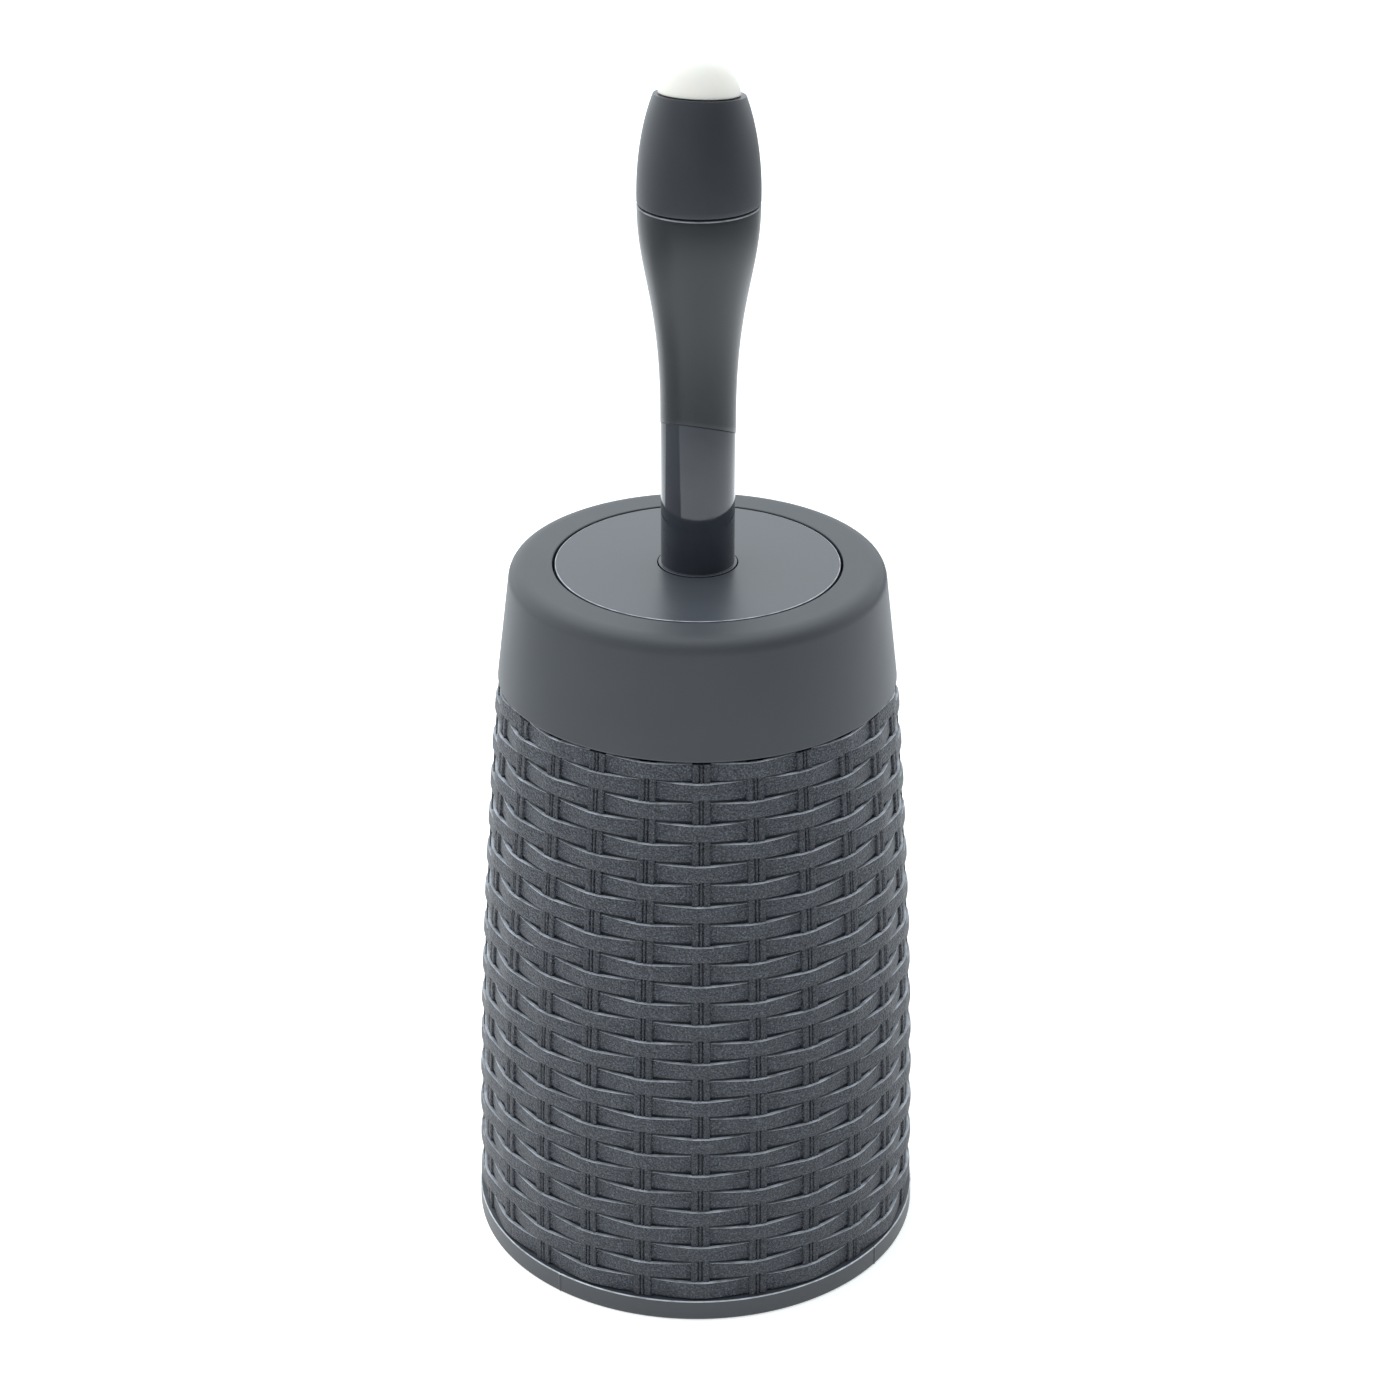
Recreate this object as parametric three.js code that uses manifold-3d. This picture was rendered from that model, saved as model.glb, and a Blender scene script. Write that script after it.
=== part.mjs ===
// A closed toilet brush standing in a tall tapered holder with a round mouth.
// Millimetres, +Z up. The origin is the middle of the underside, which stands on the floor.
// Each piece is a body of revolution; the tuft holes and the two slanted joints are boolean cuts.

import * as THREE from 'three';
import { mergeVertices } from 'three/addons/utils/BufferGeometryUtils.js';
import Module from 'manifold-3d';

// --- Clearances, walls and facets ---

const GAP = 0.3; // clearance between pieces that touch
const RUNNING_GAP = 0.4; // radial clearance between pieces that lift off or turn
const WALL = 2.2; // moulded wall of the holder and the handle
const THIN_WALL = 1.6; // moulded wall of the liner and the dome
const CHAMFER = 0.6; // broken edge on the moulded pieces
const HOLDER_SIDES = 48; // facets round the holder, the liner and the lid
const HANDLE_SIDES = 28; // facets round the handle, the stem and the head
const TUFT_SIDES = 6; // facets round a tuft and its hole
const CURVE_STEPS = 4; // straight steps in each curved stretch of an outline, twice that in an arc

// --- Holder ---

const BASE_RADIUS = 69; // the band round the foot stands a little proud of the basket
const BAND_HEIGHT = 6.6; // plain band round the foot
const FOOT_WIDTH = 7.5; // ring of the underside that stands on the floor
const BOSS_RADIUS = 26; // flat middle of the underside, level with the foot
const RECESS_DEPTH = 1.2; // hollow between the foot and the middle
const BASE_SPIGOT_HEIGHT = 7; // ring that plugs into the bottom of the basket
const BASKET_WALL = 3.4; // basket wall with the depth of its weave
const BASKET_FOOT_RADIUS = 68.7;
const BASKET_TOP = 184.4; // shoulder on which the collar sits
const BASKET_TOP_RADIUS = 59.4;
const BASKET_BULGE_RADIUS = 68.5; // pulls the basket's outline out at its belly
const BASKET_BULGE_HEIGHT = 80;
const NECK_HEIGHT = 13.5; // recessed neck of the basket inside the collar
const COLLAR_BOTTOM = 184.8;
const COLLAR_BOTTOM_RADIUS = 59.1;
const COLLAR_TOP = 220.4;
const COLLAR_TOP_RADIUS = 54.8; // where the collar's sloping side would meet its top plane
const COLLAR_SHOULDER = 4.5; // rounding between the collar's side and its top
const MOUTH_RADIUS = 42.4; // round mouth of the collar
const MOUTH_LEDGE_WIDTH = 3; // ledge in the mouth that carries the liner's rim
const MOUTH_LEDGE_THICKNESS = 2.1;

// --- Liner ---

const RIM_THICKNESS = 1.5;
const LINER_BOTTOM = 8.4;
const LINER_BOTTOM_RADIUS = 37.8;

// --- Lid ---

const LID_TOP = 220.3;
const LID_THICKNESS = 2.4;
const LID_SKIRT_DEPTH = 6.4; // ring under the lid that centres it in the liner
const LID_HUB_RADIUS = 17;
const LID_HUB_DEPTH = 4.3;

// --- Handle ---

const FOOT_FLANGE_RADIUS = 11.5;
const SHAFT_RADIUS = 10.75;
const NECK_RADIUS = 9.1; // below the foot flange, through the lid
const NECK_BOTTOM = 196;
const STEM_SPIGOT_RADIUS = 6.8;
const STEM_SPIGOT_TOP = 244;
const GRIP_FLARE_START = 266; // the grip is straight below this height
const GRIP_FLARE_PULL = 35.6; // how far the straight start carries into the flare
const SEAM_HEIGHT = 328.6; // joint between the soft grip and the barrel
const SEAM_RADIUS = 17.3;
const SEAM_PULL = 20;
const GRIP_WALL = 2.25;
const GRIP_EDGE = { height: 262, fallRight: 0.146, fallBack: 0.416 }; // slanted lower edge of the grip
const BARREL_RADIUS = 17.33; // the barrel is part of an ellipsoid
const BARREL_WIDEST = 331;
const BARREL_HALF_HEIGHT = 41.2;
const BARREL_EDGE = { height: 358.8, fallRight: 0.031, fallBack: 0.103 }; // slanted joint under the dome
const BARREL_LAND = 2.6; // thickness of the barrel's top under that joint
const BARREL_SPIGOT_HEIGHT = 7.5; // shaft core that reaches up into the barrel
const DOME_RADIUS = 11.6;
const DOME_PLUG_RADIUS = 8.6;
const DOME_PLUG_DEPTH = 6.3;
const TOP_HEIGHT = 368.8; // top of the dome

// --- Brush ---

const NUT_RADIUS = 14.8;
const NUT_HEIGHT = 4;
const STEM_RADIUS = 7;
const STEM_TAPER = 16; // length over which the stem narrows below the shaft
const HEAD_RADIUS = 11;
const HEAD_TOP = 103.7;
const HEAD_CENTRE = 41; // centre of the head's round lower end
const HEAD_NECK_RADIUS = 8.6;
const HEAD_NECK_HEIGHT = 4;
const SOCKET_RADIUS = 5.3;
const SOCKET_DEPTH = 12;
const TUFT_ROWS = 5;
const TUFTS_PER_ROW = 8;
const TUFT_ROW_PITCH = 13.5;
const END_TUFTS = 5;
const END_TUFT_SLOPE = THREE.MathUtils.degToRad(50);
const TUFT_ROOT_RADIUS = 2;
const TUFT_TIP_RADIUS = 5.4;
const TUFT_HOLE_RADIUS = 2.5;
const TUFT_HOLE_DEPTH = 3.5;
const SIDE_TUFT_REACH = 33.6; // from the axis to the tip of a side tuft
const END_TUFT_REACH = 24;

// --- Sizes that follow from those above ---

const LID_UNDERSIDE = LID_TOP - LID_THICKNESS;
const LID_HUB_BOTTOM = LID_UNDERSIDE - LID_HUB_DEPTH;
const RIM_TOP = LID_UNDERSIDE - RUNNING_GAP;
const RIM_UNDERSIDE = RIM_TOP - RIM_THICKNESS;
const LEDGE_TOP = RIM_UNDERSIDE - GAP;
const LEDGE_RADIUS = MOUTH_RADIUS - MOUTH_LEDGE_WIDTH;
const RIM_RADIUS = MOUTH_RADIUS - RUNNING_GAP;
const LINER_TOP_RADIUS = LEDGE_RADIUS - RUNNING_GAP;
const LINER_MOUTH_RADIUS = LINER_TOP_RADIUS - THIN_WALL;
const SHAFT_BORE = STEM_SPIGOT_RADIUS + RUNNING_GAP;

// --- Materials ---

const plastic = (color, roughness) => new THREE.MeshStandardMaterial({ color, roughness, metalness: 0 });

const BASKET_GREY = plastic(0x454a52, 0.62);
const COLLAR_GREY = plastic(0x50555b, 0.5);
const LID_GREY = plastic(0x565b60, 0.58);
const LINER_GREY = plastic(0x5c6166, 0.45);
const SOFT_GREY = plastic(0x43484f, 0.7);
const SHAFT_BLACK = plastic(0x1f2327, 0.12);
const DOME_WHITE = plastic(0xf1f2ed, 0.3);
const BRISTLE_WHITE = plastic(0xe9ebe8, 0.55);

// --- Making solids ---

const wasm = await Module();
wasm.setup();

// Turns an outline of radius against height, drawn anticlockwise, about the Z axis.
function turned(outline, sides) {
  const geometry = new THREE.LatheGeometry(outline.getPoints(CURVE_STEPS), sides);
  return geometry.rotateX(Math.PI / 2);
}

// A closed geometry as a manifold solid, with its shared vertices merged.
function solidOf(geometry) {
  const bare = geometry.clone();
  bare.deleteAttribute('normal');
  bare.deleteAttribute('uv');
  const merged = mergeVertices(bare);
  const corners = merged.index.array;
  const kept = [];
  for (let i = 0; i < corners.length; i += 3) {
    const [a, b, c] = [corners[i], corners[i + 1], corners[i + 2]];
    if (a !== b && b !== c && c !== a) kept.push(a, b, c);
  }
  const vertProperties = new Float32Array(merged.attributes.position.array);
  const triVerts = new Uint32Array(kept);
  return new wasm.Manifold(new wasm.Mesh({ numProp: 3, vertProperties, triVerts }));
}

// A manifold solid as a three.js geometry.
function geometryOf(solid) {
  const mesh = solid.getMesh();
  const geometry = new THREE.BufferGeometry();
  geometry.setAttribute('position', new THREE.BufferAttribute(mesh.vertProperties, mesh.numProp));
  geometry.setIndex(new THREE.BufferAttribute(mesh.triVerts, 1));
  const faceted = geometry.toNonIndexed();
  faceted.computeVertexNormals();
  return faceted;
}

// Draws a closed outline through [radius, height] corners.
function ring(corners) {
  const outline = new THREE.Path();
  corners.forEach(([r, z], i) => (i ? outline.lineTo(r, z) : outline.moveTo(r, z)));
  outline.closePath();
  return outline;
}

const root = new THREE.Group();

function add(parent, name, geometry, material) {
  const mesh = new THREE.Mesh(geometry, material);
  mesh.name = name;
  parent.add(mesh);
  return mesh;
}

// --- Holder pieces ---

// The basket's side, as a curve from its foot to its shoulder, moved inwards by inset.
function basketSide(inset) {
  return new THREE.QuadraticBezierCurve(
    new THREE.Vector2(BASKET_FOOT_RADIUS - inset, 0),
    new THREE.Vector2(BASKET_BULGE_RADIUS - inset, BASKET_BULGE_HEIGHT),
    new THREE.Vector2(BASKET_TOP_RADIUS - inset, BASKET_TOP),
  );
}

// The points of that curve between two heights, from the lower to the higher.
function basketWallPoints(inset, lowest, highest) {
  const inside = basketSide(inset).getPoints(2 * CURVE_STEPS).filter((p) => p.y > lowest && p.y < highest);
  return inside.map((p) => [p.x, p.y]);
}

function basePlate() {
  const footInner = BASE_RADIUS - FOOT_WIDTH;
  const spigotOuter = BASKET_FOOT_RADIUS - BASKET_WALL - GAP;
  const spigotInner = spigotOuter - WALL;
  const floorTop = RECESS_DEPTH + WALL;
  const outline = new THREE.Path();
  outline.moveTo(0, 0);
  outline.lineTo(BOSS_RADIUS, 0);
  outline.lineTo(BOSS_RADIUS, RECESS_DEPTH);
  outline.lineTo(footInner, RECESS_DEPTH);
  outline.lineTo(footInner, 0);
  outline.lineTo(BASE_RADIUS - CHAMFER, 0);
  outline.lineTo(BASE_RADIUS, CHAMFER);
  outline.lineTo(BASE_RADIUS, BAND_HEIGHT - CHAMFER);
  outline.lineTo(BASE_RADIUS - CHAMFER, BAND_HEIGHT);
  outline.lineTo(spigotOuter, BAND_HEIGHT);
  outline.lineTo(spigotOuter, BAND_HEIGHT + BASE_SPIGOT_HEIGHT);
  outline.lineTo(spigotInner, BAND_HEIGHT + BASE_SPIGOT_HEIGHT);
  outline.lineTo(spigotInner, floorTop);
  outline.lineTo(0, floorTop);
  return turned(outline, HOLDER_SIDES);
}

// The radius of the collar's sloping side at a height.
function collarRadius(z) {
  const share = (z - COLLAR_BOTTOM) / (COLLAR_TOP - COLLAR_BOTTOM);
  return THREE.MathUtils.lerp(COLLAR_BOTTOM_RADIUS, COLLAR_TOP_RADIUS, share);
}

function basketShell() {
  const bottom = BAND_HEIGHT + GAP;
  const neckTop = BASKET_TOP + NECK_HEIGHT;
  const neckInset = WALL + GAP;
  const outer = basketWallPoints(0, bottom, BASKET_TOP);
  const inner = basketWallPoints(BASKET_WALL, bottom, BASKET_TOP - BASKET_WALL).reverse();
  return turned(ring([
    [BASKET_FOOT_RADIUS - BASKET_WALL, bottom],
    [BASKET_FOOT_RADIUS, bottom],
    ...outer,
    [BASKET_TOP_RADIUS, BASKET_TOP],
    [collarRadius(COLLAR_BOTTOM) - neckInset, BASKET_TOP],
    [collarRadius(neckTop) - neckInset, neckTop],
    [collarRadius(neckTop) - neckInset - WALL, neckTop],
    ...inner,
  ]), HOLDER_SIDES);
}

function topCollar() {
  const shoulderStart = COLLAR_TOP - COLLAR_SHOULDER;
  const underside = COLLAR_TOP - WALL;
  const ledgeBottom = LEDGE_TOP - MOUTH_LEDGE_THICKNESS;
  const mouthWall = MOUTH_RADIUS + WALL;
  const outline = new THREE.Path();
  outline.moveTo(COLLAR_BOTTOM_RADIUS - WALL, COLLAR_BOTTOM);
  outline.lineTo(COLLAR_BOTTOM_RADIUS, COLLAR_BOTTOM);
  outline.lineTo(collarRadius(shoulderStart), shoulderStart);
  outline.quadraticCurveTo(COLLAR_TOP_RADIUS, COLLAR_TOP, COLLAR_TOP_RADIUS - COLLAR_SHOULDER, COLLAR_TOP);
  outline.lineTo(MOUTH_RADIUS + CHAMFER, COLLAR_TOP);
  outline.lineTo(MOUTH_RADIUS, COLLAR_TOP - CHAMFER);
  outline.lineTo(MOUTH_RADIUS, LEDGE_TOP);
  outline.lineTo(LEDGE_RADIUS, LEDGE_TOP);
  outline.lineTo(LEDGE_RADIUS, ledgeBottom);
  outline.lineTo(mouthWall, ledgeBottom);
  outline.lineTo(mouthWall, underside);
  outline.lineTo(COLLAR_TOP_RADIUS - COLLAR_SHOULDER, underside);
  outline.lineTo(collarRadius(shoulderStart) - WALL, shoulderStart);
  outline.closePath();
  return turned(outline, HOLDER_SIDES);
}

function dripLiner() {
  const floorTop = LINER_BOTTOM + THIN_WALL;
  const corner = 2 * THIN_WALL; // rounding between the liner's side and its floor
  const outline = new THREE.Path();
  outline.moveTo(0, LINER_BOTTOM);
  outline.lineTo(LINER_BOTTOM_RADIUS - corner, LINER_BOTTOM);
  outline.lineTo(LINER_BOTTOM_RADIUS, LINER_BOTTOM + corner);
  outline.lineTo(LINER_TOP_RADIUS, RIM_UNDERSIDE);
  outline.lineTo(RIM_RADIUS, RIM_UNDERSIDE);
  outline.lineTo(RIM_RADIUS, RIM_TOP);
  outline.lineTo(LINER_MOUTH_RADIUS, RIM_TOP);
  outline.lineTo(LINER_BOTTOM_RADIUS - THIN_WALL, floorTop + corner);
  outline.lineTo(LINER_BOTTOM_RADIUS - THIN_WALL - corner, floorTop);
  outline.lineTo(0, floorTop);
  return turned(outline, HOLDER_SIDES);
}

function lidDisc() {
  const skirtOuter = LINER_MOUTH_RADIUS - 2 * RUNNING_GAP;
  const skirtInner = skirtOuter - THIN_WALL;
  const skirtBottom = LID_UNDERSIDE - LID_SKIRT_DEPTH;
  return turned(ring([
    [NECK_RADIUS + RUNNING_GAP, LID_HUB_BOTTOM],
    [LID_HUB_RADIUS, LID_HUB_BOTTOM],
    [LID_HUB_RADIUS, LID_UNDERSIDE],
    [skirtInner, LID_UNDERSIDE],
    [skirtInner, skirtBottom],
    [skirtOuter, skirtBottom],
    [skirtOuter, LID_UNDERSIDE],
    [RIM_RADIUS, LID_UNDERSIDE],
    [RIM_RADIUS, LID_TOP - CHAMFER],
    [RIM_RADIUS - CHAMFER, LID_TOP],
    [FOOT_FLANGE_RADIUS + GAP, LID_TOP],
    [FOOT_FLANGE_RADIUS + GAP, LID_UNDERSIDE],
    [NECK_RADIUS + RUNNING_GAP, LID_UNDERSIDE],
  ]), HOLDER_SIDES);
}

// --- Handle pieces ---

// Continues an outline up the grip's flare, moved inwards by inset, or down it if downwards.
function followFlare(outline, inset, downwards) {
  const low = [SHAFT_RADIUS - inset, GRIP_FLARE_START];
  const lowPull = [SHAFT_RADIUS - inset, GRIP_FLARE_START + GRIP_FLARE_PULL];
  const highPull = [SEAM_RADIUS - inset, SEAM_HEIGHT - SEAM_PULL];
  const high = [SEAM_RADIUS - inset, SEAM_HEIGHT - GAP];
  const stretch = downwards ? [high, highPull, lowPull, low] : [low, lowPull, highPull, high];
  outline.lineTo(...stretch[0]);
  outline.bezierCurveTo(...stretch[1], ...stretch[2], ...stretch[3]);
}

// Everything above a slanted joint, lifted by rise. An edge has its height at the axis,
// its fall for each unit towards +X and its fall for each unit towards +Y.
function aboveEdge(edge, rise) {
  const reach = 6 * SEAM_RADIUS;
  const block = new THREE.BoxGeometry(reach, reach, reach);
  block.translate(0, 0, reach / 2);
  const upright = new THREE.Vector3(0, 0, 1);
  const slanted = new THREE.Vector3(edge.fallRight, edge.fallBack, 1).normalize();
  block.applyQuaternion(new THREE.Quaternion().setFromUnitVectors(upright, slanted));
  block.translate(0, 0, edge.height + rise);
  return solidOf(block);
}

// A tube with a foot flange and a glossy outside below the slanted edge, and a core inside the grip.
function handleShaft() {
  const flangeBottom = LID_UNDERSIDE + GAP;
  const flangeTop = LID_TOP + GAP;
  const sleeveTop = GRIP_FLARE_START + SHAFT_RADIUS;
  const sleeve = turned(ring([
    [SHAFT_BORE, NECK_BOTTOM],
    [NECK_RADIUS, NECK_BOTTOM],
    [NECK_RADIUS, flangeBottom],
    [FOOT_FLANGE_RADIUS, flangeBottom],
    [FOOT_FLANGE_RADIUS, flangeTop - GAP],
    [FOOT_FLANGE_RADIUS - CHAMFER, flangeTop],
    [SHAFT_RADIUS, flangeTop],
    [SHAFT_RADIUS, sleeveTop],
    [SHAFT_BORE, sleeveTop],
  ]), HANDLE_SIDES);
  const coreInset = GRIP_WALL + GAP;
  const boreInset = SHAFT_RADIUS - STEM_SPIGOT_RADIUS + RUNNING_GAP;
  const spigotTop = SEAM_HEIGHT + BARREL_SPIGOT_HEIGHT;
  const spigotRadius = SEAM_RADIUS - WALL - 2 * GAP;
  const core = new THREE.Path();
  core.moveTo(SHAFT_RADIUS - boreInset, STEM_SPIGOT_TOP + GAP);
  core.lineTo(SHAFT_RADIUS - coreInset, STEM_SPIGOT_TOP + GAP);
  followFlare(core, coreInset, false);
  core.lineTo(spigotRadius, SEAM_HEIGHT);
  core.lineTo(spigotRadius, spigotTop);
  core.lineTo(spigotRadius - THIN_WALL, spigotTop);
  followFlare(core, boreInset, true);
  core.closePath();
  const outside = solidOf(sleeve).subtract(aboveEdge(GRIP_EDGE, -GAP));
  return geometryOf(outside.add(solidOf(turned(core, HANDLE_SIDES))));
}

function softGrip() {
  const bottom = GRIP_EDGE.height - SHAFT_RADIUS;
  const outline = new THREE.Path();
  outline.moveTo(SHAFT_RADIUS - GRIP_WALL, bottom);
  outline.lineTo(SHAFT_RADIUS, bottom);
  followFlare(outline, 0, false);
  followFlare(outline, GRIP_WALL, true);
  outline.closePath();
  return geometryOf(solidOf(turned(outline, HANDLE_SIDES)).intersect(aboveEdge(GRIP_EDGE, 0)));
}

// The angle on the barrel's ellipse at a height.
function barrelAngle(z) {
  return Math.asin((z - BARREL_WIDEST) / BARREL_HALF_HEIGHT);
}

function barrelCap() {
  const bottom = SEAM_HEIGHT + GAP;
  const top = BARREL_EDGE.height + BARREL_LAND;
  const innerTop = BARREL_EDGE.height - BARREL_LAND;
  const holeRadius = DOME_PLUG_RADIUS + GAP;
  const from = barrelAngle(bottom);
  const outline = new THREE.Path();
  outline.absellipse(0, BARREL_WIDEST, BARREL_RADIUS, BARREL_HALF_HEIGHT, from, barrelAngle(top), false);
  outline.lineTo(holeRadius, top);
  outline.lineTo(holeRadius, innerTop);
  outline.absellipse(
    0, BARREL_WIDEST, BARREL_RADIUS - WALL, BARREL_HALF_HEIGHT, barrelAngle(innerTop), from, true,
  );
  outline.closePath();
  return geometryOf(solidOf(turned(outline, HANDLE_SIDES)).subtract(aboveEdge(BARREL_EDGE, 0)));
}

// A round shell cut off at the slanted joint, with a ring that plugs into the barrel.
function endDome() {
  const centre = TOP_HEIGHT - DOME_RADIUS;
  const innerRadius = DOME_RADIUS - THIN_WALL;
  const shell = new THREE.Path();
  shell.absarc(0, centre, innerRadius, Math.PI / 2, 0, true);
  shell.lineTo(innerRadius, centre - BARREL_LAND);
  shell.lineTo(DOME_RADIUS, centre - BARREL_LAND);
  shell.absarc(0, centre, DOME_RADIUS, 0, Math.PI / 2, false);
  const plugBottom = BARREL_EDGE.height - DOME_PLUG_DEPTH;
  const plugTop = centre + Math.sqrt(innerRadius ** 2 - DOME_PLUG_RADIUS ** 2) + THIN_WALL / 2;
  const plug = ring([
    [DOME_PLUG_RADIUS - THIN_WALL, plugBottom],
    [DOME_PLUG_RADIUS, plugBottom],
    [DOME_PLUG_RADIUS, plugTop],
    [DOME_PLUG_RADIUS - THIN_WALL, plugTop],
  ]);
  const cap = solidOf(turned(shell, HANDLE_SIDES)).intersect(aboveEdge(BARREL_EDGE, GAP));
  return geometryOf(cap.add(solidOf(turned(plug, HANDLE_SIDES))));
}

// --- Brush pieces ---

function lidNut() {
  const top = LID_HUB_BOTTOM - RUNNING_GAP;
  const bore = NECK_RADIUS + GAP;
  return turned(ring([
    [bore, top - NUT_HEIGHT],
    [NUT_RADIUS - CHAMFER, top - NUT_HEIGHT],
    [NUT_RADIUS, top - NUT_HEIGHT + CHAMFER],
    [NUT_RADIUS, top],
    [bore, top],
  ]), HANDLE_SIDES);
}

function brushStem() {
  const shoulder = NECK_BOTTOM - GAP;
  const outline = new THREE.Path();
  outline.moveTo(0, HEAD_TOP - SOCKET_DEPTH + GAP);
  outline.lineTo(SOCKET_RADIUS - GAP, HEAD_TOP - SOCKET_DEPTH + GAP);
  outline.lineTo(SOCKET_RADIUS - GAP, HEAD_TOP + GAP);
  outline.lineTo(STEM_RADIUS, HEAD_TOP + GAP);
  outline.lineTo(STEM_RADIUS, shoulder - STEM_TAPER);
  outline.lineTo(NECK_RADIUS, shoulder - STEM_TAPER / 2);
  outline.lineTo(NECK_RADIUS, shoulder);
  outline.lineTo(STEM_SPIGOT_RADIUS, shoulder);
  outline.lineTo(STEM_SPIGOT_RADIUS, STEM_SPIGOT_TOP - GAP);
  outline.lineTo(0, STEM_SPIGOT_TOP - GAP);
  return turned(outline, HANDLE_SIDES);
}

// Where the tufts stand: a name, a centre height on the axis, a direction and a reach.
function tuftPlaces() {
  const places = [];
  for (let row = 0; row < TUFT_ROWS; row += 1) {
    const stagger = row % 2 ? 0.5 : 0;
    for (let i = 0; i < TUFTS_PER_ROW; i += 1) {
      const turn = ((i + stagger) / TUFTS_PER_ROW) * 2 * Math.PI;
      places.push({
        name: `tuft_row${row + 1}_${i + 1}`,
        height: HEAD_CENTRE + row * TUFT_ROW_PITCH,
        direction: new THREE.Vector3(Math.cos(turn), Math.sin(turn), 0),
        reach: SIDE_TUFT_REACH,
      });
    }
  }
  for (let i = 0; i < END_TUFTS; i += 1) {
    const turn = (i / END_TUFTS) * 2 * Math.PI;
    const out = Math.cos(END_TUFT_SLOPE);
    places.push({
      name: `end_tuft_${i + 1}`,
      height: HEAD_CENTRE,
      direction: new THREE.Vector3(out * Math.cos(turn), out * Math.sin(turn), -Math.sin(END_TUFT_SLOPE)),
      reach: END_TUFT_REACH,
    });
  }
  places.push({
    name: 'end_tuft_middle',
    height: HEAD_CENTRE,
    direction: new THREE.Vector3(0, 0, -1),
    reach: END_TUFT_REACH,
  });
  return places;
}

// The turn that lays the Z axis along a direction.
function aimed(direction) {
  return new THREE.Quaternion().setFromUnitVectors(new THREE.Vector3(0, 0, 1), direction);
}

// A round-ended core with a socket for the stem and a blind hole for each tuft.
function headCore(places) {
  const bodyTop = HEAD_TOP - HEAD_NECK_HEIGHT;
  const outline = new THREE.Path();
  outline.absarc(0, HEAD_CENTRE, HEAD_RADIUS, -Math.PI / 2, 0, false);
  outline.lineTo(HEAD_RADIUS, bodyTop);
  outline.lineTo(HEAD_NECK_RADIUS, HEAD_TOP);
  outline.lineTo(SOCKET_RADIUS, HEAD_TOP);
  outline.lineTo(SOCKET_RADIUS, HEAD_TOP - SOCKET_DEPTH);
  outline.lineTo(0, HEAD_TOP - SOCKET_DEPTH);
  let core = solidOf(turned(outline, HANDLE_SIDES));
  for (const place of places) {
    const hole = new THREE.CylinderGeometry(TUFT_HOLE_RADIUS, TUFT_HOLE_RADIUS, HEAD_RADIUS, TUFT_SIDES);
    hole.rotateX(Math.PI / 2);
    hole.translate(0, 0, HEAD_RADIUS - TUFT_HOLE_DEPTH + HEAD_RADIUS / 2);
    hole.applyQuaternion(aimed(place.direction));
    hole.translate(0, 0, place.height);
    core = core.subtract(solidOf(hole));
  }
  return geometryOf(core);
}

// One tuft standing on its Z axis, from the root in its hole to the domed tip.
function tuft(reach) {
  const foot = HEAD_RADIUS - TUFT_HOLE_DEPTH + GAP;
  const outline = new THREE.Path();
  outline.moveTo(0, foot);
  outline.lineTo(TUFT_ROOT_RADIUS, foot);
  outline.lineTo(TUFT_ROOT_RADIUS, HEAD_RADIUS + GAP);
  outline.lineTo(TUFT_TIP_RADIUS, reach - CHAMFER);
  outline.lineTo(0, reach);
  return turned(outline, TUFT_SIDES);
}

// --- Assembly ---

const holder = new THREE.Group();
root.add(holder);
add(holder, 'base_plate', basePlate(), COLLAR_GREY);
add(holder, 'basket_shell', basketShell(), BASKET_GREY);
add(holder, 'top_collar', topCollar(), COLLAR_GREY);
add(root, 'drip_liner', dripLiner(), LINER_GREY);
add(root, 'lid_disc', lidDisc(), LID_GREY);

const brush = new THREE.Group();
root.add(brush);
add(brush, 'handle_shaft', handleShaft(), SHAFT_BLACK);
add(brush, 'soft_grip', softGrip(), SOFT_GREY);
add(brush, 'barrel_cap', barrelCap(), SOFT_GREY);
add(brush, 'end_dome', endDome(), DOME_WHITE);
add(brush, 'lid_nut', lidNut(), COLLAR_GREY);
add(brush, 'brush_stem', brushStem(), COLLAR_GREY);

const places = tuftPlaces();
add(brush, 'head_core', headCore(places), COLLAR_GREY);
for (const place of places) {
  const piece = add(brush, place.name, tuft(place.reach), BRISTLE_WHITE);
  piece.quaternion.copy(aimed(place.direction));
  piece.position.set(0, 0, place.height);
}

export default root;
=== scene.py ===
"""A closed toilet brush in a rattan-effect holder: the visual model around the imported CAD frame.

Metres and +Z up, as in the CAD. The object's lengths are written in millimetres and pass through MM; the
stage's are in metres. An azimuth is measured from the front, -Y, towards +X.
"""

import math
import random

import bpy
import numpy as np
from mathutils import Matrix, Vector


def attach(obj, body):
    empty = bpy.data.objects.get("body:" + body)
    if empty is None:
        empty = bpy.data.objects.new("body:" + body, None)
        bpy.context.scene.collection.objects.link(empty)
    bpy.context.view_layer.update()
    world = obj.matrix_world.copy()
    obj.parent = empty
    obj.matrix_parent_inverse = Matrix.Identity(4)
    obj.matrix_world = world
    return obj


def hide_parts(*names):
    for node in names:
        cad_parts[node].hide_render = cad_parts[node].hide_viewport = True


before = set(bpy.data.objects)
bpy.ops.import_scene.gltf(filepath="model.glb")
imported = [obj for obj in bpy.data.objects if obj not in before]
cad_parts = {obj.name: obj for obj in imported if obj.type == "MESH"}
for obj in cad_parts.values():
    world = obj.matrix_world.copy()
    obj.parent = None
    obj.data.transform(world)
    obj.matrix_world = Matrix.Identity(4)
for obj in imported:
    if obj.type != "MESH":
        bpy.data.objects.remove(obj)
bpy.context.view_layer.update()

MM = 0.001
TURN = 2 * math.pi

# --- Sizes shared with the CAD, in millimetres ---

GAP = 0.3
WALL = 2.2
THIN_WALL = 1.6

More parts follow.
